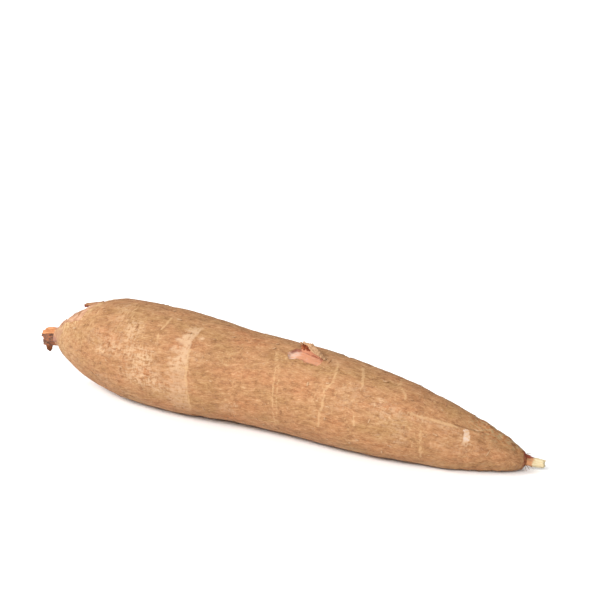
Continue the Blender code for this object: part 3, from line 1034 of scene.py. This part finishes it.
def make_end(name, distance, angle, radius, raised, share, bark, teeth, splinters, snap, drop, looks, material):
    """One of the root's two broken ends, a closed loft.

    The bark and the splinters are noises, each a height, lumps and a seed. The teeth and the splinters stand
    along the root where snap is 1, and share shrinks the rings of the broken face.
    """
    cell = round_spine(distance, angle, radius)
    radius = radius + sum(high * noise_at(cell, lumps, seed) for high, lumps, seed in bark)
    radius = (radius + raised) * share
    cell = round_spine(distance * 0, angle, radius)
    snapped = teeth * (np.sin(3 * angle + 0.4) + 0.5 * np.sin(8 * angle)) * share
    snapped = (snapped + sum(high * noise_at(cell, lumps, seed) for high, lumps, seed in splinters)) * snap
    ahead, out, _ = directions(distance, angle)
    points = spine(distance) + np.multiply.outer(drop, (0, 0, -1.0)) + out * radius[..., None]
    points = with_poles(points + ahead * snapped[..., None]) * MM
    attributes = {"grain": with_poles(round_spine(distance, angle, radius))}
    attributes.update({key: with_poles(values) for key, values in looks.items()})
    make_mesh(name, points, loft(*distance.shape)[0], attributes, material)


def make_stub(material):
    """The broken woody stub at the thick end."""
    face_rings = 7
    rows, distance, angle = end_grid(np.concatenate([np.zeros(face_rings), np.linspace(0.02, STUB_END, 44)]), 96)
    ribs = np.sin(4 * angle + 0.9) + 0.6 * np.sin(7 * angle + 0.5)
    radius = np.minimum(radius_at(distance), 5.5) * (1 + 0.1 * ribs)
    top = 0.55 * soft_step(np.cos(angle), 0.6, 0.85) - 0.3 * soft_step(np.cos(angle), 0.72, 0.62)
    looks = {
        # The upper side, painted as lighter tan wood: partly painted light
        "top": soft_step(np.cos(angle - math.radians(-2)), 0.6, 0.86),
        "root": soft_step(distance, 7.0, 9.5) * soft_step(np.cos(angle + 0.9), -0.2, 0.5),
    }
    make_end(
        "stub_wood", distance, angle, radius, raised=top * soft_step(distance, 9, 6),
        share=np.clip((rows + 0.4) / (face_rings + 0.4), 0, 1),
        bark=((0.45, (6, 1.6, 1.6), 41.0), (0.16, (3, 0.7, 0.7), 43.0)),
        teeth=0.9, splinters=((1.3, (1, 1.0, 1.0), 45.0), (0.5, (1, 0.5, 0.5), 46.0)),
        snap=soft_step(distance, 2.5, 0.0), drop=0.0, looks=looks, material=material,
    )


def make_core(material):
    """The snapped cream core at the thin end."""
    face_rings = 5
    places = np.concatenate([np.linspace(CORE_START, LENGTH - 0.02, 40), np.full(face_rings, LENGTH)])
    rows, distance, angle = end_grid(places, 64)
    make_end(
        "tip_core", distance, angle, np.clip(radius_at(distance), 0, 2.75), raised=0.0,
        share=np.clip((len(places) - 1 - rows + 0.4) / (face_rings + 0.4), 0, 1),
        bark=((0.35, (4, 1.2, 1.2), 51.0), (0.1, (2, 0.5, 0.5), 53.0)),
        teeth=0.45, splinters=((0.9, (1, 0.7, 0.7), 55.0),),
        snap=soft_step(distance, 335.5, LENGTH), drop=0.5 * soft_step(distance, 327, 333),
        looks={"root": soft_step(distance, 333.5, 327.5)}, material=material,
    )


def make_strands(material, rng):
    """The strip that hangs from the stub, dark fibres at the tip, and thin root hairs."""
    parts = []

    def strand(start, course, radii, tint, sides, wobble):
        """A tube from a point, through offsets from it, all in millimetres."""
        course = np.asarray(course, float)
        knots = np.linspace(0, 1, len(course))
        t = np.linspace(0, 1, 18)
        line = np.stack([np.interp(t, knots, course[:, k]) for k in range(3)], -1)
        for _ in range(3):
            line[1:-1] = 0.25 * line[:-2] + 0.5 * line[1:-1] + 0.25 * line[2:]
        shake = np.array([[rng.uniform(-1, 1) for _ in range(3)] for _ in t]) * wobble * t[:, None]
        width = np.interp(t, np.linspace(0, 1, len(radii)), radii)
        parts.append(tube_part((start + line + shake) * MM, width * MM, sides, tint))

    hung = skin_base(np.array(2.4), np.radians(184.0))
    for offset, course, radii, tint, sides in STRIPS:
        strand(hung + offset, course, radii, tint, sides, 0.15)
    for place, degrees, run in HAIRS:
        root = skin_base(np.array(float(place)), math.radians(degrees))
        end = np.array(run)
        bend = end * 0.5 + (0.2, 0.1, 0.5)
        strand(root - end * 0.1, [(0, 0, 0), bend, end], (0.16, 0.13, 0.06), rng.uniform(0.6, 0.95), 5, 0.12)
    make_joined("end_strands", parts, material)


def make_floor():
    """A plain pale floor."""
    mesh = bpy.data.meshes.new("floor")
    half = 6.0
    mesh.from_pydata([(-half, -half, 0), (half, -half, 0), (half, half, 0), (-half, half, 0)], [], [(0, 1, 2, 3)])
    material = bpy.data.materials.new("floor_white")
    material.use_nodes = True
    inputs = material.node_tree.nodes["Principled BSDF"].inputs
    for key, value in (("Base Color", (0.93, 0.93, 0.93, 1)), ("Roughness", 0.9), ("Specular IOR Level", 0.0)):
        inputs[key].default_value = value
    mesh.materials.append(material)
    in_scene("floor", mesh)


def turned_to(thing, azimuth, elevation):
    """Turn a camera or lamp to look from so many degrees round and above the floor, and give that direction."""
    turn, lift = math.radians(azimuth), math.radians(elevation)
    towards = Vector((math.sin(turn) * math.cos(lift), -math.cos(turn) * math.cos(lift), math.sin(lift)))
    thing.rotation_euler = towards.to_track_quat("Z", "Y").to_euler()
    return towards


def make_camera():
    """The photograph's view: from the tip's side, 21 degrees down, with a long lens."""
    data = bpy.data.cameras.new("camera")
    data.lens = CAMERA_LENS
    data.sensor_width = 36.0
    data.clip_end = 50
    camera = in_scene("camera", data)
    camera.location = CAMERA_PLACE
    turned_to(camera, CAMERA_AZIMUTH, CAMERA_ELEVATION)
    bpy.context.scene.camera = camera


def make_lights():
    """A pale tent, with a wide row of soft lights at the front left and one behind."""
    scene = bpy.context.scene
    world = bpy.data.worlds.new("tent")
    world.use_nodes = True
    background = world.node_tree.nodes["Background"]
    background.inputs["Color"].default_value = (1, 1, 1, 1)
    background.inputs["Strength"].default_value = TENT_STRENGTH
    scene.world = world
    scene.view_settings.view_transform = "Standard"
    for name, left, height, strength, spread in SUNS:
        data = bpy.data.lights.new(name, "SUN")
        data.energy = strength
        data.angle = math.radians(spread)
        lamp = in_scene(name, data)
        lamp.location = turned_to(lamp, CAMERA_AZIMUTH - left, height) * 2


make_camera()
make_lights()
make_floor()
slivers = sliver_material()
make_tuber(bark_material())
make_stub(stub_material())
make_core(core_material())
make_flap("patch_flap", PATCH_FLAP, (1.15, 3.6), (0.8, 2.55), 0.6, -1, (0.65, 0.8), slivers)
make_flap("shoulder_flap", SHOULDER_FLAP, (-0.2, -0.2), (2.0, 1.3), 0.8, 1, (0.5, 0.0), slivers)
make_fringe(slivers, random.Random(5))
make_flakes(slivers, random.Random(7))
make_strands(strand_material(), random.Random(11))
